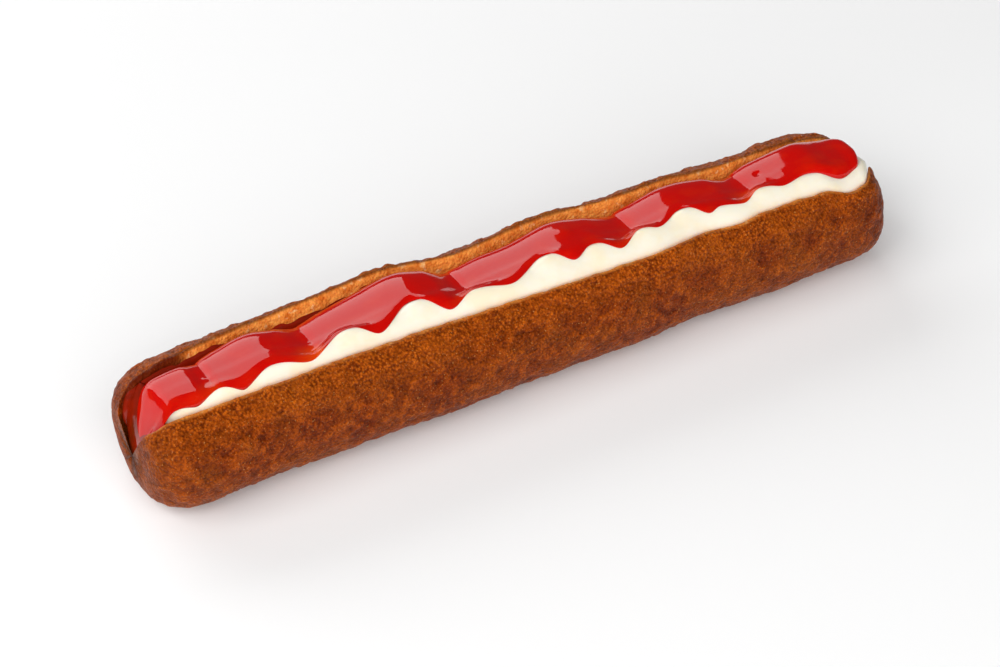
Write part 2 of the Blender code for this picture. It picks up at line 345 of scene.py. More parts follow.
def lipArc(x, half, count):
    # from the lip's inner edge over its top to its outer edge: two parabolas that meet level at the top
    form = sausageForm
    skin, wall, close, skinPart = roundedHalf(x, half, np.zeros((1, 1)))
    top = close[..., 1] + skinPart * (through(half["top"], x) - close[..., 1])
    s = np.linspace(0, 1, count + 2)[None, 1:-1]
    middle = form["lipIn"] / (form["lipIn"] + form["lipOut"])
    inner = top - (top - wall[..., 1]) * ((middle - s) / middle) ** 2
    outer = top - (top - skin[..., 1]) * ((s - middle) / (1 - middle)) ** 2
    y = wall[..., 0] + s * (skin[..., 0] - wall[..., 0])
    return np.stack([y, np.where(s < middle, inner, outer)], -1)


def makeSausage():
    # rings round both walls, lips and skins, each point moved along its normal by the height of the relief
    form = sausageForm
    end = form["length"] / 2
    x = stations(-end, end, form["stations"], form["crowd"])[:, None]
    mirror = np.array([-1, 1])
    nearSkin = roundedHalf(x, nearHalf, np.linspace(0, 1, form["nearSkin"])[None])[0] * mirror
    farSkin = roundedHalf(x, farHalf, np.linspace(0, 1, form["farSkin"])[None])[0]
    nearWall = roundedHalf(x, nearHalf, np.linspace(0, 1, form["nearWall"])[None])[1] * mirror
    farSteps = np.linspace(0, 1, form["farWall"])[None] ** form["farWallSpacing"]
    farWall = roundedHalf(x, farHalf, farSteps)[1]
    nearLip = lipArc(x, nearHalf, form["lipPoints"]) * mirror
    farLip = lipArc(x, farHalf, form["lipPoints"])
    parts = (nearWall, farWall[:, -2::-1], farLip, farSkin, nearSkin[:, -2::-1], nearLip[:, ::-1])
    rings = np.concatenate(parts, 1)
    points = withPlace(x, rings)

    # cut is 1 on a bare cut face and 0 on the skin, and fades over each lip and at both ends
    fade = np.linspace(0, 1, form["lipPoints"])
    shares = (1, 1, 1 - fade, 0, 0, fade)
    cut = np.concatenate([np.broadcast_to(share, part.shape[1]) for share, part in zip(shares, parts)])
    far = rings[..., 0] > 0
    fromEnd = end - np.abs(x)
    fadeStart, fadeLength = form["cutFade"]
    inside = easeIn((fromEnd - fadeStart) / fadeLength)
    brown, bare = farHalf["bareCut"]
    farBare = easeIn((x - brown) / (bare - brown))
    brink = 4 * cut * (1 - cut) * inside * far
    stain = cut * inside * (1 - farBare) * far
    cut = cut * (inside * np.where(far, farBare, 1))

    broad, fine = skinHeight(points)
    rimStart, rimReach = form["rim"]
    rim = easeIn((points[..., 2] - rimStart) / rimReach)
    height = (broad + fine) * (1 - cut) * (1 + form["rimRelief"] * rim) + cutHeight(points) * cut
    kept, reach = form["calmEnd"]
    calm = np.clip((fromEnd + kept) / reach, 0, 1)
    moved = points + gridNormals(points) * (height * calm)[..., None]
    moved[..., 2] = np.maximum(moved[..., 2], 0)
    piece = makeLoft("fried_sausage", moved, skinMaterial(),
                     {"cut": cut, "fine": fine, "broad": broad, "rim": rim, "brink": brink, "stain": stain})
    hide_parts("frikandel")


skinRelief = {
    # size of the features and their height, in millimetres
    "swells": (13.0, 0.30),
    "lumps": (4.6, 0.22),
    "knobs": (1.9, 0.20),
    "grains": (1.05, 0.15),
    "creases": (2.2, 0.13),     # thin folded lines pressed into the skin
    "cutLumps": (3.0, 0.22),
    "cutGrains": (1.1, 0.12),
    "creaseWidth": 0.12,        # how far from 0 their noise still presses in
    "creaseStretch": (1, 0.8, 0.8),
    "skinSeed": 11,
    "creaseSeed": 31,
    "cutSeed": 51,
}


def skinHeight(points):
    # two broad sizes of noise, and two fine ones less sharp valleys where another passes through zero
    relief = skinRelief
    layers = [relief[key][1] * latticeNoise(points, relief[key][0], relief["skinSeed"] + i)
              for i, key in enumerate(("swells", "lumps", "knobs", "grains"))]
    size, depth = relief["creases"]
    fold = np.abs(latticeNoise(points * np.array(relief["creaseStretch"]), size, relief["creaseSeed"]))
    valleys = depth * np.exp(-(fold / relief["creaseWidth"]) ** 2)
    return layers[0] + layers[1], layers[2] + layers[3] - valleys


def cutHeight(points):
    # two sizes of noise added up
    total = 0
    for i, key in enumerate(("cutLumps", "cutGrains")):
        size, height = skinRelief[key]
        total = total + height * latticeNoise(points, size, skinRelief["cutSeed"] + i)
    return total


skinLook = {
    "pits": (0.130, 0.0170, 0.0011),
    "brown": (0.215, 0.0320, 0.0015),
    "orange": (0.340, 0.0600, 0.0025),
    "golden": (0.335, 0.0800, 0.0050),
    "dark": (0.110, 0.0170, 0.0014),
    "rim": (0.500, 0.1000, 0.0045),
    "stain": (0.110, 0.0100, 0.0025),
    "brink": (0.110, 0.0200, 0.0025),
    "cutDark": (0.680, 0.1700, 0.0200),
    "cutLight": (1.000, 0.4000, 0.0800),
    "bubble": (1.000, 0.6800, 0.3200),
    "fleckAndGlint": (0.700, 0.3400, 0.1000),
    "roughness": 0.50,
    "oil": 0.12,                # weight of the thin coat
    "oilRoughness": 0.15,
    "specular": 0.07,
    "scatter": 0.12,
    # features a metre of each noise or cell pattern
    "grainScale": 1700,
    "patchScale": 75,
    "spotScale": 560,
    "granuleScale": 1500,
    "pebbleScale": 230,
    "fleckAndGlintScale": 2600,
    "crumbScale": 420,
    "bubbleScale": 620,
    # greatest share of a colour where it is laid over what is below it
    "swellShare": 0.25,
    "patchShare": 0.28,
    "spotShare": 0.32,
    "rimShare": 0.4,
    "grainShare": 0.9,
    "fleckAndGlintShare": 0.4,
    "bubbleShare": 0.5,
    "brinkShare": 0.75,
    "stainShare": 0.85,
    # what the base colour is multiplied by, in the hollows and on the tops of the grain and granules:
    # painted shade in the hollows and painted highlights on the tops
    "grainHollowShade": (0.48, 0.40, 0.35),
    "grainTopHighlight": (1.40, 1.48, 1.44),
    "granuleHollowShade": (0.5, 0.4, 0.35),
    "granuleTopHighlight": (1.4, 1.5, 1.6),
}


def skinMaterial():
    # brown by the relief's height, with paler swells and rim, dark spots, grain and granules with painted
    # shade in their hollows and painted highlights on their tops, and flecks that are partly painted
    # glints; the cut faces have crumbs and bubbles of their own
    look = skinLook
    material, nodes, links, shader = newMaterial("Fried skin")
    fine = addRange(nodes, links, addAttribute(nodes, "fine"), -0.30, 0.20)
    broad = addRange(nodes, links, addAttribute(nodes, "broad"), -0.35, 0.30)
    grain = addNoise(nodes, links, look["grainScale"], 3, 0.65)
    patches = addNoise(nodes, links, look["patchScale"], 4, 0.6)
    spots = addNoise(nodes, links, look["spotScale"], 4, 0.7)
    base = addRamp(nodes, links, fine, ((0.1, look["pits"]), (0.5, look["brown"]), (0.9, look["orange"])))
    share = addRange(nodes, links, broad, 0.45, 0.85, 0, look["swellShare"])
    base = addMix(nodes, links, share, base, look["golden"])
    share = addRange(nodes, links, patches, 0.50, 0.68, 0, look["patchShare"])
    base = addMix(nodes, links, share, base, look["golden"])
    share = addRange(nodes, links, spots, 0.56, 0.70, 0, look["spotShare"])
    base = addMix(nodes, links, share, base, look["dark"])
    rim = addRange(nodes, links, addAttribute(nodes, "rim"), 0, 1, 0, look["rimShare"])
    base = addMix(nodes, links, rim, base, look["rim"])
    # painted shade in the grain's hollows and painted highlights on its tops
    shade = addRamp(nodes, links, grain, ((0.32, look["grainHollowShade"]), (0.68, look["grainTopHighlight"])))
    base = addMix(nodes, links, look["grainShare"], base, shade, "MULTIPLY")

    # granules, with painted shade in their hollows and painted highlights on their tops, show most
    # towards the rim, and only where a slower noise lets them
    granules = addCells(nodes, links, look["granuleScale"])
    # painted shade in the granules' hollows and painted highlights on their tops
    granuleShadeAndHighlight = addRamp(nodes, links, granules, ((0.2, look["granuleTopHighlight"]), (0.7, look["granuleHollowShade"])))
    upwards = addRange(nodes, links, rim, 0, look["rimShare"], 0.5, 1.0)
    pebbles = addNoise(nodes, links, look["pebbleScale"], 2, 0.5)
    share = addMath(nodes, links, "MULTIPLY", upwards, addRange(nodes, links, pebbles, 0.35, 0.6, 0.3, 1.0))
    base = addMix(nodes, links, share, base, granuleShadeAndHighlight, "MULTIPLY")
    # lighter flecks: partly golden specks of the crust, partly painted glints
    flecksAndGlints = addNoise(nodes, links, look["fleckAndGlintScale"], 1, 0.4)
    share = addRange(nodes, links, flecksAndGlints, 0.68, 0.76, 0, look["fleckAndGlintShare"])
    base = addMix(nodes, links, share, base, look["fleckAndGlint"])

    crumbs = addNoise(nodes, links, look["crumbScale"], 4, 0.65)
    cutColour = addRamp(nodes, links, crumbs, ((0.35, look["cutDark"]), (0.65, look["cutLight"])))
    bubbles = addNoise(nodes, links, look["bubbleScale"], 2, 0.5)
    share = addRange(nodes, links, bubbles, 0.62, 0.70, 0, look["bubbleShare"])
    cutColour = addMix(nodes, links, share, cutColour, look["bubble"])
    colour = addMix(nodes, links, addAttribute(nodes, "cut"), base, cutColour)
    brink = addRange(nodes, links, addAttribute(nodes, "brink"), 0.35, 1.0, 0, look["brinkShare"])
    colour = addMix(nodes, links, brink, colour, look["brink"])
    stain = addRange(nodes, links, addAttribute(nodes, "stain"), 0, 0.6, 0, look["stainShare"])
    colour = addMix(nodes, links, stain, colour, look["stain"])
    links.new(colour, shader.inputs["Base Color"])

    roughness = addRange(nodes, links, spots, 0.35, 0.65, look["roughness"] - 0.1, look["roughness"] + 0.15)
    links.new(roughness, shader.inputs["Roughness"])
    tops = addRange(nodes, links, granules, 0.1, 0.8, 1, 0)
    normal = addBump(nodes, links, tops, 0.8, 0.25, addBump(nodes, links, grain, 1.0, 0.3))
    links.new(normal, shader.inputs["Normal"])
    links.new(normal, shader.inputs["Coat Normal"])
    shader.inputs["Coat Weight"].default_value = look["oil"]
    shader.inputs["Coat Roughness"].default_value = look["oilRoughness"]
    shader.inputs["Specular IOR Level"].default_value = look["specular"]
    shader.inputs["Subsurface Weight"].default_value = look["scatter"]
    shader.inputs["Subsurface Radius"].default_value = (1.0, 0.35, 0.12)
    shader.inputs["Subsurface Scale"].default_value = 1.5 * millimetre
    return material


makeSausage()

print("the mayonnaise")

mayoForm = {
    "middle": -6.3,         # across the sausage
    "far": 5.8,             # half-width of its far flank
    "rise": 3.1,            # above the near lip's inner edge
    "underCrown": 29.0,     # under the red sauce it sinks by what the crown lacks to this height
    "sinkReach": 3.5,       # and this far past the red edge it does so in full
    "swell": 0.06,          # part by which that flank swells and shrinks, and the length of one swell
    "swellStep": 27.0,
    "ends": (-88.6, 91.5),
    "reach": (8.0, 5.0),
    "close": (0.3, 0.78),   # where in the section its ends close, across and up
    "gap": 0.3,             # between the sauces and the near lip or the slit's bottom
    "wallGap": 0.2,
    "stations": 420,
    "crowd": 0.4,
    "arcPoints": 64,
    "wallPoints": 12,
    "tailPoints": 8,
    "lumpRise": 0.27,       # height of a lump for each millimetre that the red edge draws back
    "lumpFrom": -9.6,       # place across from which that is measured
    "lumpShift": (0.5, 1.2),    # from the crest to the right and towards the near side
    "lumpLeft": 2.3,
    "lumpRight": 5.0,
    "lumpAcross": (2.4, 1.3),   # towards the near side and the far side
}
# Where the red sauce's edge lies on the mayonnaise: pairs of a place along and a place across
waves = ((-92.0, -7.0), (-88.6, -9.0), (-84.5, -8.8), (-80.6, -9.2), (-74.7, -8.0), (-69.8, -9.4),
         (-62.3, -7.4), (-53.9, -9.1), (-43.9, -5.4), (-37.1, -8.8), (-27.3, -3.9), (-19.7, -9.1),
         (-13.0, -6.8), (-4.5, -8.4), (6.0, -4.2), (11.8, -8.3), (17.5, -6.0), (23.2, -9.4),
         (30.0, -6.3), (33.7, -7.8), (41.3, -4.8), (47.1, -8.7), (50.0, -7.9), (55.8, -9.0),
         (61.5, -6.7), (67.0, -8.3), (73.1, -7.4), (81.9, -10.2), (88.0, -8.8))
# Height of the red sauce's highest line: each lobe climbs for more than half its length and then sinks
crown = ((-93.0, 24.6), (-89.0, 26.6), (-84.5, 28.0), (-80.0, 28.5), (-77.0, 28.0), (-71.0, 28.2),
         (-62.5, 29.2), (-57.0, 28.2), (-51.6, 26.8), (-45.0, 27.6), (-35.0, 28.9), (-26.0, 30.0),
         (-20.0, 29.0), (-14.6, 27.2), (-7.0, 28.1), (-0.5, 28.7), (5.0, 29.2), (12.5, 30.0), (20.5, 28.8),
         (28.1, 27.1), (32.8, 27.9), (41.8, 29.3), (52.0, 28.4), (58.6, 26.9), (65.0, 28.15), (76.5, 30.1),
         (82.0, 29.0), (86.0, 28.4), (89.0, 28.7), (93.0, 29.0))
# Where the head of each red lobe lies on the tail before it
creases = (-76.2, -51.6, -14.3, 28.5, 59.6)
thinTails = (0.25, 1.0, 0.3, 0.5, 0.9)      # how far the mayonnaise shines through each of those tails
# The crests of the red edge, which lie further across than both their neighbours
crests = [place for before, place, after in zip(waves, waves[1:], waves[2:])
          if place[1] > before[1] and place[1] > after[1]]


def mayoLumps(x, y):
    # one bell beside each crest of the edge, narrower on its left than on its right
    form = mayoForm
    right, nearer = form["lumpShift"]
    total = 0
    for crestX, crestY in crests:
        along = (x - crestX - right) / np.where(x < crestX + right, form["lumpLeft"], form["lumpRight"])
        across = (y - crestY + nearer) / np.where(y < crestY - nearer, *form["lumpAcross"])
        rise = form["lumpRise"] * (crestY - form["lumpFrom"])
        total = total + rise * np.exp(-(along ** 2 + across ** 2) / 2)
    return total


def beadRadii(x):
    # half-widths of the bead: to the near lip, and to a far flank that swells and shrinks as a sine
    form = mayoForm
    near = innerLip(x, nearHalf)[0] - form["gap"] + form["middle"]
    far = form["far"] * (1 + form["swell"] * np.sin(2 * np.pi * x / form["swellStep"]))
    return near, far


def beadArc(x, turn, gap):
    # an ellipse of two unlike halves over the near lip's inner edge, with lumps on it; under the red
    # sauce it sinks where that sauce's crown is low
    form = mayoForm
    near, far = beadRadii(x)
    radius = np.where(turn > np.pi / 2, near, far) + gap
    base = innerLip(x, nearHalf)[1]
    y = form["middle"] + radius * np.cos(turn)
    covered = easeIn((y - through(waves, x)) / form["sinkReach"])
    sag = np.maximum(form["underCrown"] - through(crown, x), 0) * covered
    z = base + (form["rise"] + gap - sag + mayoLumps(x, y)) * np.sin(turn)
    return np.stack([y, z], -1)


def beadTurn(x, y):
    # the turn at which a place across lies on the bead
    near, far = beadRadii(x)
    offset = y - mayoForm["middle"]
    return np.arccos(np.clip(offset / np.where(offset > 0, far, near), -1, 1))


def sharedTail(x, sideways, count):
    # the straight face between the sauces, from the bead's far edge down to the bottom of the slit
    edge = beadArc(x, np.zeros((1, 1)), sideways)
    foot = np.array([sideways, sausageForm["slitBottom"] + mayoForm["gap"]])
    return edge + (foot - edge) * np.linspace(0, 1, count + 1)[1:, None]


def wallPoints(x, half, height, count):
    # up one wall of the slit to the given height, clear of it
    gap = mayoForm["gap"]
    lowest = sausageForm["slitBottom"] + gap
    z = lowest + (height - lowest) * np.linspace(0, 1, count + 1)[1:] ** sausageForm["wallSpacing"]
    y = slitHalfWidth(z, *innerLip(x, half)) - mayoForm["wallGap"]
    return np.stack([np.maximum(y, gap), z], -1)


def shrinkEnds(rings, x, form):
    # rounds both ends by drawing each section in towards the point where they close, all but a sliver
    sliver = 0.02
    first = quarter(x - form["ends"][0] + sliver, form["reach"][0], 2)
    last = quarter(form["ends"][1] - x + sliver, form["reach"][1], 2)
    part = np.minimum(first, last)[..., None]
    lowest, highest = rings.min(1, keepdims=True), rings.max(1, keepdims=True)
    close = np.where((x < 0)[..., None], form.get("closeLeft", form["close"]), form["close"])
    middle = lowest + (highest - lowest) * close
    return middle + part * (rings - middle)


mayoLook = {
    "cream": (0.945, 0.875, 0.730),
    "hollow": (0.935, 0.825, 0.620),
    "roughness": 0.28,
    "scatter": 0.4,
    "cloudScale": 160,      # features a metre
    "dimpleScale": 450,
}


def mayoMaterial():
    # cream clouded with a slightly yellower tone, with light scattered below a softly dimpled surface
    look = mayoLook
    material, nodes, links, shader = newMaterial("Mayonnaise cream")
    cloud = addNoise(nodes, links, look["cloudScale"], 3, 0.5)
    colour = addRamp(nodes, links, cloud, ((0.35, look["hollow"]), (0.55, look["cream"])))
    links.new(colour, shader.inputs["Base Color"])
    shader.inputs["Roughness"].default_value = look["roughness"]
    shader.inputs["Subsurface Weight"].default_value = look["scatter"]
    shader.inputs["Subsurface Radius"].default_value = (1.0, 0.9, 0.6)
    shader.inputs["Subsurface Scale"].default_value = 1.2 * millimetre
    normal = addBump(nodes, links, addNoise(nodes, links, look["dimpleScale"], 2, 0.4), 0.25, 0.3)
    links.new(normal, shader.inputs["Normal"])
    return material


def makeMayonnaise():
    # rings up the near wall, over the bead and down the face between the sauces
    form = mayoForm
    x = stations(*form["ends"], form["stations"], form["crowd"])[:, None]
    wall = wallPoints(x, nearHalf, innerLip(x, nearHalf)[1], form["wallPoints"]) * np.array([-1, 1])
    turn = np.linspace(np.pi, 0, form["arcPoints"] + 1)[None, 1:]
    rings = np.concatenate([wall, beadArc(x, turn, 0), sharedTail(x, 0, form["tailPoints"])], 1)
    rings = shrinkEnds(rings, x, form)
    piece = makeLoft("mayonnaise_bead", withPlace(x, rings), mayoMaterial())
    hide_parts("mayonnaise")


makeMayonnaise()

print("the red sauce")

sauceForm = {
    "ends": (-92.4, 89.4),
    "reach": (5.0, 4.0),
    "close": (0.6, 0.92),       # where in the section its right end closes, across and up
    "closeLeft": (0.20, 0.62),
    "crownAt": -1.5,            # how far across its highest line runs
    "sinkTo": 25.4,             # the height that heads and tails sink towards
    "droop": 6.4,               # how far its near edge hangs at the left end
    "droopFrom": -85.5,         # where it starts to, and over what length
    "droopLength": 8.0,
    "droopFar": 0.6,            # part of the droop that the far side loses
    "droopAcross": (-9.0, 14.0),    # where that loss starts, and over what width
    "droopUp": (12.0, 8.0),     # height that stays put, and above it what the droop grows over
    "edge": (19.6, 24.2),       # height of its edge on the far wall, in a crease and on a lobe
    "nearReach": 9.5,           # from the crown line to where the back would end on the near side
    "nearBase": ((-95.0, 23.6), (-89.0, 26.0), (-82.0, 27.2), (58.0, 27.2), (66.0, 28.2), (76.0, 28.2),
                 (88.0, 27.2)),     # and its height there
    "power": (2.6, 3.0),        # of the far side and the near side
    "film": 0.05,               # least thickness over the mayonnaise
    "filmFrom": -4.0,           # beyond this place across, that film falls away
    "filmFall": 0.35,
    "blend": 1.3,               # width over which back and film run into each other
    "brim": 2.2,                # over this width its back rounds down to the wavy edge
    "brimPower": 2.2,
    "brimLeft": 1.4,            # how much wider the brim grows towards the left end
    "brimLeftFrom": -80.0,
    "brimLeftLength": 8.0,
    "underGap": 0.06,
    "slant": 1.1,               # how much further along the near edge of each section lies
    "slantReach": 8.0,          # it grows to that over this length from each end
    "beyondEnds": (10.0, 20.0),     # the first head and the end of the last tail lie this far outside
    "headReach": 2.6,
    "tailStart": 3.5,           # a tail starts to sink this far before the next head
    "tailLength": 12.0,
    "thinPeak": 0.5,            # a tail is thinnest this far past the next head
    "thinBefore": 8.0,          # over these lengths it gets there and is thick again
    "thinAfter": 3.0,
    "thinPower": 1.7,
    "thinAcross": (-3.0, 4.0),  # place across where it starts, and the width that it grows over
    "stations": 900,
    "crowd": 0.25,
    "moundPoints": 64,
    "underPoints": 20,
    "tailPoints": 6,
    "wallPoints": 10,
}
# How far up the far wall the lobes reach along the sausage, from 0 in a crease to 1
fullness = ((-92.0, -0.3), (-86.0, 0.05), (-76.5, -0.1), (-71.0, 0.35), (-64.0, 0.6), (-57.0, 0.3),
            (-51.0, 0.0), (-45.5, 0.3), (-36.0, 0.6), (-26.0, 0.88), (-20.0, 0.72), (-14.6, 0.25),
            (-6.0, 0.5), (0.5, 0.35), (6.0, 0.5), (14.0, 0.75), (20.5, 0.55), (27.5, 0.2), (32.0, 0.42),
            (46.0, 0.72), (52.0, 0.6), (58.0, 0.02), (65.0, 0.46), (73.5, 0.3), (77.5, 0.35), (88.0, 0.1))
# A bubble and two small swellings on the back: a place along and across, a radius and a height
marks = ((64.5, -0.8, 0.5, -0.35), (14.0, 0.7, 1.1, 0.2), (18.8, -2.1, 1.3, 0.24))


def lobeProfile(x):
    # 1 on a lobe's back and 0 where none is left, the most of all lobes: each has a round head, a level
    # back and a tail that sinks under the next head
    form = sauceForm
    heads = (form["ends"][0] - form["beyondEnds"][0],) + creases
    nexts = creases + (form["ends"][1] + form["beyondEnds"][1],)
    best = np.zeros_like(x)
    for head, following in zip(heads, nexts):
        nose = quarter(x - head, form["headReach"], 2) * (x > head)
        tail = 1 - easeIn((x - following + form["tailStart"]) / form["tailLength"])
        best = np.maximum(best, nose * tail)
    return best


def sauceBack(x, y, wallY, wallZ):
    # two quarter superellipses that meet at the crown line, one to the near side and one to the far wall;
    # the smooth maximum (a + b + sqrt((a - b)^2 + blend^2)) / 2 keeps them above a film on the mayonnaise
    form = sauceForm
    profile = lobeProfile(x)
    highest = form["sinkTo"] + (through(crown, x) - form["sinkTo"]) * profile
    near = y < form["crownAt"]
    reach = np.where(near, form["nearReach"], wallY - form["crownAt"])
    base = np.where(near, through(form["nearBase"], x), wallZ)
    t = np.clip(np.abs(y - form["crownAt"]) / reach, 0, 1)
    power = np.where(near, form["power"][1], form["power"][0])
    back = base + (highest - base) * (1 - t ** power) ** (1 / power)
    film = beadArc(x, beadTurn(x, y), 0)[..., 1] + form["film"] * profile
    film = film - form["filmFall"] * np.maximum(y - form["filmFrom"], 0) ** 2
    for markX, markY, radius, height in marks:
        back = back + height * np.exp(-((x - markX) ** 2 + (y - markY) ** 2) / (2 * radius ** 2))
    return (back + film + np.hypot(back - film, form["blend"])) / 2


def thinness(x, y):
    # a power of the nearness to each crease, which reaches further before it than after it, and only on
    # the near side
    form = sauceForm
    total = 0
    for crease, most in zip(creases, thinTails):
        gap = crease + form["thinPeak"] - x
        distance = np.where(gap > 0, gap / form["thinBefore"], -gap / form["thinAfter"])
        total = total + most * (1 - np.clip(distance, 0, 1)) ** form["thinPower"]
    start, width = form["thinAcross"]
    return total * easeIn((start - y) / width)


def drooped(places, rings):
    # the left end hangs: heights drop by an eased share of the droop, less on the far side and low down
    form = sauceForm
    along = easeIn((form["droopFrom"] - places) / form["droopLength"])
    farStart, farWidth = form["droopAcross"]
    across = 1 - form["droopFar"] * np.clip((rings[..., 0] - farStart) / farWidth, 0, 1)
    still, grows = form["droopUp"]
    drop = form["droop"] * (along * across) * easeIn((rings[..., 1] - still) / grows)
    return np.stack([rings[..., 0], rings[..., 1] - drop], -1)


def makeRedSauce():
    # rings up the face between the sauces, under the wavy edge, back over the mound and down the far wall
    form = sauceForm
    start, end = form["ends"]
    x = stations(start, end, form["stations"], form["crowd"])[:, None]
    reach = form["slantReach"]
    nearX = x + form["slant"] * np.minimum(quarter(x - start, reach, 2), quarter(end - x, reach, 2))
    turn = beadTurn(nearX, through(waves, nearX)) * np.linspace(0, 1, form["underPoints"])
    under = beadArc(nearX, turn, form["underGap"])
    crease, lobe = form["edge"]
    edgeHeight = crease + (lobe - crease) * through(fullness, x)
    wall = wallPoints(x, farHalf, edgeHeight, form["wallPoints"])[:, ::-1]
    turn = np.linspace(0, np.pi, form["moundPoints"] + 2)[None, 1:-1]
    along = (1 - np.cos(turn)) / 2
    places = nearX + (x - nearX) * along
    edgeY, edgeZ = under[:, -1:, 0], under[:, -1:, 1]
    wallY, wallZ = wall[:, :1, 0], wall[:, :1, 1]
    y = edgeY + (wallY - edgeY) * along
    back = sauceBack(places, y, wallY, wallZ)
    # near the wavy edge the back rounds down to the mayonnaise
    line = edgeZ + (wallZ - edgeZ) * along
    brim = form["brim"] + form["brimLeft"] * easeIn((form["brimLeftFrom"] - x) / form["brimLeftLength"])
    z = line + (back - line) * quarter(y - edgeY, brim, form["brimPower"])
    mound = np.stack([y, z], -1)
    tail = sharedTail(nearX, form["underGap"], form["tailPoints"])[:, ::-1]
    parts = ((nearX, tail), (nearX, under), (places, mound), (x, wall))
    allPlaces = np.concatenate([np.broadcast_to(place, part.shape[:2]) for place, part in parts], 1)
    rings = shrinkEnds(np.concatenate([part for place, part in parts], 1), x, form)
    rings = drooped(allPlaces, rings)
    piece = makeLoft("red_sauce_lobes", withPlace(allPlaces, rings), sauceMaterial(),
                     {"thin": thinness(allPlaces, rings[..., 0])})
    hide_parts("red_sauce")


sauceLook = {
    "deep": (0.570, 0.0020, 0.0003),
    "thin": (0.880, 0.0700, 0.0010),
    "film": (0.160, 0.0100, 0.0020),
    "filmLight": (0.34, 0.012, 0.002),
    "roughness": 0.06,
    "filmRoughness": 0.1,
    "ior": 1.38,
    "filmIor": 1.4,
    "scatter": 0.2,
    "cloudScale": 180,      # features a metre
    "cloudDepth": 0.06,     # how much a cloud changes the thinness
    "streakScale": 260,
    "streakStretch": (0.35, 1, 1),
}


def sauceMaterial():
    # deep red that turns orange where the attribute thin is high, a little clouded
    look = sauceLook
    material, nodes, links, shader = newMaterial("Red sauce gloss")
    depth = look["cloudDepth"]
    noise = addNoise(nodes, links, look["cloudScale"], 2, 0.5)
    cloud = addRange(nodes, links, noise, 0.35, 0.65, -depth, depth)
    thin = addMath(nodes, links, "ADD", addAttribute(nodes, "thin"), cloud)
    colour = addRamp(nodes, links, thin, ((0.0, look["deep"]), (1.0, look["thin"])))
    links.new(colour, shader.inputs["Base Color"])
    shader.inputs["Roughness"].default_value = look["roughness"]
    shader.inputs["IOR"].default_value = look["ior"]
    shader.inputs["Subsurface Weight"].default_value = look["scatter"]
    shader.inputs["Subsurface Radius"].default_value = (1.0, 0.10, 0.03)
    shader.inputs["Subsurface Scale"].default_value = 2.0 * millimetre
    return material


def filmMaterial():
    # dark red with lighter streaks along the sausage, which are also ridges
    look = sauceLook
    material, nodes, links, shader = newMaterial("Thin sauce gloss")
    streaks = addNoise(nodes, links, look["streakScale"], 3, 0.6, look["streakStretch"])
    colour = addRamp(nodes, links, streaks, ((0.3, look["film"]), (0.75, look["filmLight"])))
    links.new(colour, shader.inputs["Base Color"])
    shader.inputs["Roughness"].default_value = look["filmRoughness"]
    shader.inputs["IOR"].default_value = look["filmIor"]
    normal = addBump(nodes, links, streaks, 0.3, 0.4)
    links.new(normal, shader.inputs["Normal"])
    return material


makeRedSauce()

print("thin sauce on the far wall and in the left notch")

filmForm = {
    "ends": (-93.0, -24.0),
    "reach": (2.0, 5.0),
    "stations": 320,
    "sink": 3.5,            # how far down behind the lobes it goes
    "lift": ((-93.0, 9.5), (-86.0, 8.2), (-80.0, 6.4), (-74.0, 4.6), (-66.0, 2.4), (-60.0, 1.8),
             (-52.0, 3.8), (-45.0, 2.8), (-30.0, 1.4), (-24.0, 0.2)),
    "thick": 0.8,
    "roundPart": 0.5,       # part of its height over which its upper edge rounds off
    "press": 0.02,          # how far even its thinnest part stands out from the wall
    "sunk": 0.5,            # how far its hidden side lies inside the wall
    "lipGap": 0.25,         # left free below the lip
    "endPart": 0.1,         # part of its height left at both ends
    "ripple": (3.5, 0.35),  # length and height of the ripples in its upper edge
    "rippleSeed": 71,
    "points": 16,
}
notchForm = {
    "ends": (-93.7, -85.0),
    "reach": (2.2, 3.0),
    "close": (0.5, 0.55),
    "surface": ((-93.7, 13.0), (-92.4, 17.5), (-90.0, 21.5), (-87.5, 24.0), (-85.0, 24.4)),
    "sag": 1.0,             # depth of its middle below its edges
    "stations": 60,
    "points": 30,
    "wallPoints": 14,
}


def makeThinSauce():
    # a lens on the far wall, its outer side up and its hidden side down inside the wall
    form = filmForm
    x = np.linspace(*form["ends"], form["stations"])[:, None]
    crease, lobe = sauceForm["edge"]
    edge = crease + (lobe - crease) * through(fullness, x)
    lip = roundedHalf(x, farHalf, np.zeros((1, 1)))[1][..., 1]
    length, height = form["ripple"]
    line = np.concatenate([x, 0 * x, 0 * x], 1)
    ripple = height * latticeNoise(line, length, form["rippleSeed"])[:, None]
    highest = np.minimum(edge + through(form["lift"], x) + ripple, lip - form["lipGap"])
    start, end = form["ends"]
    ends = quarter(x - start, form["reach"][0], 2) * quarter(end - x, form["reach"][1], 2)
    s = np.linspace(0, 1, form["points"])[None]
    lowest = edge - form["sink"]
    spread = form["endPart"] + (1 - form["endPart"]) * ends
    z = lowest + (highest - lowest) * (0.5 + (s - 0.5) * spread)
    wall = slitHalfWidth(z, *innerLip(x, farHalf))
    outer = wall - form["thick"] * ends * quarter(1 - s, form["roundPart"], 2) - form["press"]
    rings = np.stack([np.concatenate([outer, wall[:, ::-1] + form["sunk"]], 1),
                      np.concatenate([z, z[:, ::-1]], 1)], -1)
    piece = makeLoft("thin_sauce", withPlace(x, rings), filmMaterial())


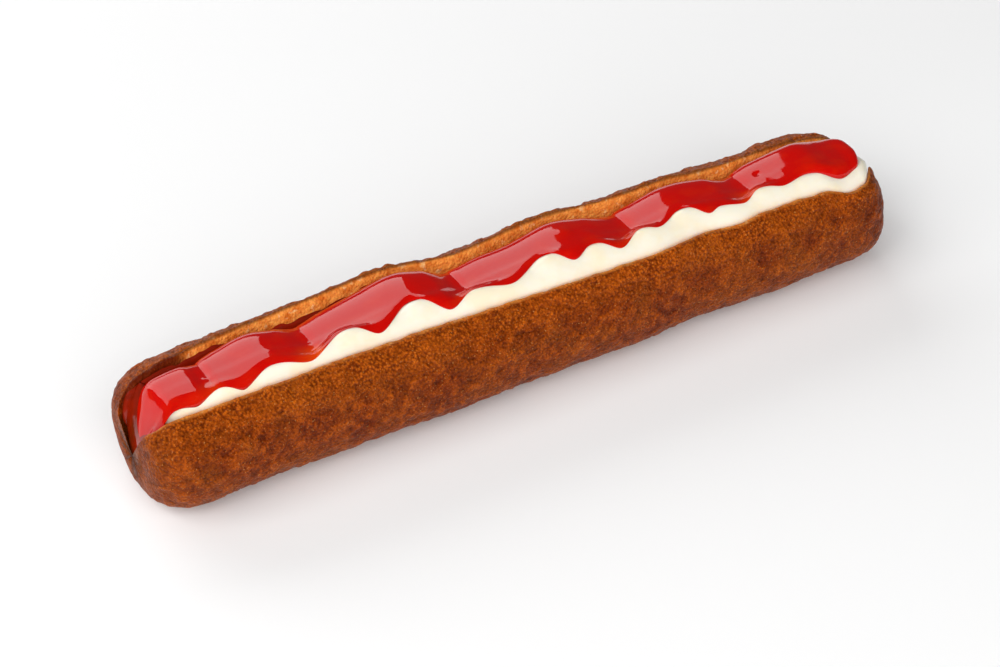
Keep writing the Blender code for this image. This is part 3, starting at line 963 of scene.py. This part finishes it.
def makeNotchSauce():
    # fills the slit's left mouth up to a surface that sags as a parabola between the walls
    form = notchForm
    x = np.linspace(*form["ends"], form["stations"])[:, None]
    height = through(form["surface"], x)
    near = wallPoints(x, nearHalf, height, form["wallPoints"]) * np.array([-1, 1])
    far = wallPoints(x, farHalf, height, form["wallPoints"])[:, ::-1]
    t = np.linspace(0, 1, form["points"] + 2)[None, 1:-1]
    y = near[:, -1:, 0] + (far[:, :1, 0] - near[:, -1:, 0]) * t
    z = height - form["sag"] * 4 * t * (1 - t)
    rings = np.concatenate([near, np.stack([y, z], -1), far], 1)
    piece = makeLoft("notch_sauce", withPlace(x, shrinkEnds(rings, x, form)), filmMaterial())


makeThinSauce()
makeNotchSauce()

print("floor, lights and camera")

studio = {
    "floor": (0.99, 0.99, 0.99),
    "floorReach": 3.0,      # from the middle to each side, in metres as all places here
    "floorRoughness": 0.7,
    "floorSpecular": 0.05,
    "surroundings": 0.08,
    "keyPlace": (-0.179, 0.873, 0.454),
    "keySize": (1.10, 0.73),
    "keyRoll": -20.0,       # degrees about its own axis
    "keyWatts": 5.8,
    "fillPlace": (-0.35, -1.00, 0.75),
    "fillSize": (1.8, 1.2),
    "fillWatts": 18.0,
    "leftPlace": (-0.90, -0.15, 0.95),
    "leftSize": (1.0, 1.0),
    "leftWatts": 8.0,
    "cameraPlace": (-0.21289, -0.41201, 0.40098),
    "right": (0.8819, -0.4708, -0.0236),
    "down": (-0.32132, -0.56370, -0.76092),
    "forward": (0.34496, 0.67864, -0.64842),
    "lens": 95.41,          # and the sensor's width, in millimetres
    "sensor": 36.0,
    "nearest": 0.01,        # nearest place that the camera sees
}


def makeFloor():
    # one flat square
    reach = studio["floorReach"]
    mesh = bpy.data.meshes.new("floor")
    corners = [(-reach, -reach, 0), (reach, -reach, 0), (reach, reach, 0), (-reach, reach, 0)]
    mesh.from_pydata(corners, [], [(0, 1, 2, 3)])
    material, nodes, links, shader = newMaterial("Pale floor")
    shader.inputs["Base Color"].default_value = (*studio["floor"], 1)
    shader.inputs["Roughness"].default_value = studio["floorRoughness"]
    shader.inputs["Specular IOR Level"].default_value = studio["floorSpecular"]
    mesh.materials.append(material)
    floor = bpy.data.objects.new("floor", mesh)
    bpy.context.scene.collection.objects.link(floor)


def addSoftbox(name, place, size, watts, roll=0, mirrored=False):
    # a rectangular light that faces the middle of the sausage; only a mirrored one shows in the gloss
    light = bpy.data.lights.new(name, "AREA")
    light.shape = "RECTANGLE"
    light.size, light.size_y = size
    light.energy = watts
    lamp = bpy.data.objects.new(name, light)
    turn = (Vector(place) * -1).to_track_quat("-Z", "Y").to_matrix().to_4x4()
    lamp.matrix_world = Matrix.Translation(place) @ turn @ Matrix.Rotation(np.radians(roll), 4, "Z")
    lamp.visible_glossy = mirrored
    bpy.context.scene.collection.objects.link(lamp)


def setCamera():
    # the camera's own axes are right, up (against down) and back (against forward)
    camera = bpy.data.cameras.new("camera")
    camera.lens = studio["lens"]
    camera.sensor_width = studio["sensor"]
    camera.clip_start = studio["nearest"]
    holder = bpy.data.objects.new("camera", camera)
    rows = np.array([studio["right"], studio["down"], studio["forward"]])
    turn = Matrix((rows * np.array([[1], [-1], [-1]])).T.tolist()).to_4x4()
    holder.matrix_world = Matrix.Translation(studio["cameraPlace"]) @ turn
    bpy.context.scene.collection.objects.link(holder)
    bpy.context.scene.camera = holder


def setSurroundings():
    # an even dim white all round, and colours shown as they are
    world = bpy.data.worlds.new("studio")
    world.use_nodes = True
    background = world.node_tree.nodes["Background"]
    background.inputs["Color"].default_value = (1, 1, 1, 1)
    background.inputs["Strength"].default_value = studio["surroundings"]
    bpy.context.scene.world = world
    bpy.context.scene.view_settings.view_transform = "Standard"


makeFloor()
addSoftbox("key", studio["keyPlace"], studio["keySize"], studio["keyWatts"], studio["keyRoll"], True)
addSoftbox("fill", studio["fillPlace"], studio["fillSize"], studio["fillWatts"])
addSoftbox("left", studio["leftPlace"], studio["leftSize"], studio["leftWatts"])
setCamera()
setSurroundings()
